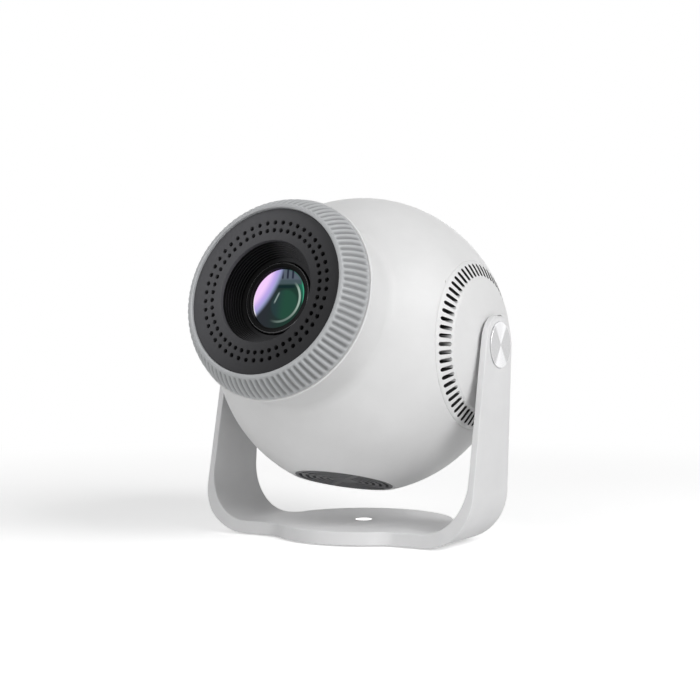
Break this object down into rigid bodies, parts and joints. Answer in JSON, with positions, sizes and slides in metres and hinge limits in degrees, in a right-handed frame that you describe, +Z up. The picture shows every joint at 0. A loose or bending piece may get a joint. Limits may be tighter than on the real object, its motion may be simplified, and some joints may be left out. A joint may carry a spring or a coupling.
{
  "type": "video projector",
  "caption": "Ball-shaped video projector that tilts in a U-shaped desk bracket, with a ribbed focus ring round a recessed lens, slotted side covers and rear ports.",
  "frame": {"origin": "on the table below the tilt pivot, on the axis of the tripod thread", "axes": "+Z up, the lens looks towards -Y, +X to the side along the tilt pivot"},
  "size_m": [0.1442, 0.1635, 0.16],
  "materials": {
    "shell_white": "fine matte moulding",
    "bracket_white": "fine matte moulding",
    "grille_grey": "matte moulding",
    "ring_grey": "satin moulding with ribs",
    "fascia_charcoal": "satin moulding",
    "well_black": "black anti-glare moulding",
    "black_plastic": "black moulding",
    "button_grey": "satin moulding",
    "coated_glass": "coated lens glass",
    "clear_glass": "clear lens",
    "lcd_glass": "dark panel glass",
    "spun_aluminium": "spun face",
    "raw_aluminium": "mill finish",
    "steel": "plated steel",
    "nickel_insert": "nickel plated",
    "foot_rubber": "matte rubber",
    "washer_fibre": "fibre washer",
    "circuit_board": "green solder mask",
    "led_ceramic": "white metal-core board",
    "ribbon_film": "amber film"
  },
  "bodies": {
    "bracket": {"bracket_frame": "bracket_white", "foot_pad": "foot_rubber", "tripod_insert": "nickel_insert", "pivot_cap_left": "spun_aluminium", "pivot_cap_right": "spun_aluminium"},
    "head": {"main_shell": "shell_white", "rear_cover": "shell_white", "side_cover_left": "shell_white", "side_cover_right": "shell_white", "bottom_grille": "grille_grey", "pivot_bolt_left": "steel", "pivot_bolt_right": "steel", "friction_washer_left": "washer_fibre", "friction_washer_right": "washer_fibre", "lens_mount": "black_plastic", "engine_housing": "black_plastic", "front_fresnel": "clear_glass", "lcd_panel": "lcd_glass", "rear_fresnel": "clear_glass", "condenser_lens": "clear_glass", "led_board": "led_ceramic", "heat_sink": "raw_aluminium", "fan_frame": "black_plastic", "chassis_plate": "raw_aluminium", "main_board": "circuit_board", "lcd_ribbon": "ribbon_film", "speaker": "black_plastic", "port_panel": "black_plastic", "port_board": "circuit_board", "hdmi_socket": "steel", "usb_socket": "steel", "audio_socket": "black_plastic", "dc_socket": "black_plastic", "cover_screws": "steel", "chassis_screws": "steel", "lens_mount_screws": "steel", "panel_screws": "steel"},
    "focus_ring": {"focus_ring": "ring_grey", "focus_sleeve": "well_black", "sleeve_retainer": "steel", "fascia": "fascia_charcoal", "lens_well": "well_black"},
    "lens_barrel": {"lens_barrel": "well_black", "lens_trim_ring": "well_black", "front_lens": "coated_glass", "middle_lens": "clear_glass", "rear_lens": "clear_glass"},
    "fan_rotor": {"fan_rotor": "black_plastic"},
    "power_button": {"power_button": "button_grey"}
  },
  "joints": [
    {"name": "head_tilt", "type": "hinge", "parent": "bracket", "child": "head", "pos_m": [0, 0, 0.09], "axis": [-1, 0, 0], "range_deg": [-46, 74]},
    {"name": "focus_turn", "type": "hinge", "parent": "head", "child": "focus_ring", "pos_m": [0, 0, 0.09], "axis": [0, -0.9613, 0.2756], "range_deg": [-60, 60]},
    {"name": "lens_travel", "type": "slide", "parent": "focus_ring", "child": "lens_barrel", "axis": [0, -0.9613, 0.2756], "range_m": [-0.0025, 0.0025]},
    {"name": "fan_spin", "type": "hinge", "parent": "head", "child": "fan_rotor", "pos_m": [0.038, 0.02108, 0.08396], "axis": [1, 0, 0], "continuous": true},
    {"name": "button_press", "type": "slide", "parent": "head", "child": "power_button", "axis": [0, -0.9613, 0.2756], "range_m": [0, 0.0008], "stiffness_N_per_m": 800, "springref_m": -0.0005}
  ],
  "couplings": [
    {"joint": "lens_travel", "follows": "focus_turn", "m_per_rad": 0.0023873}
  ]
}
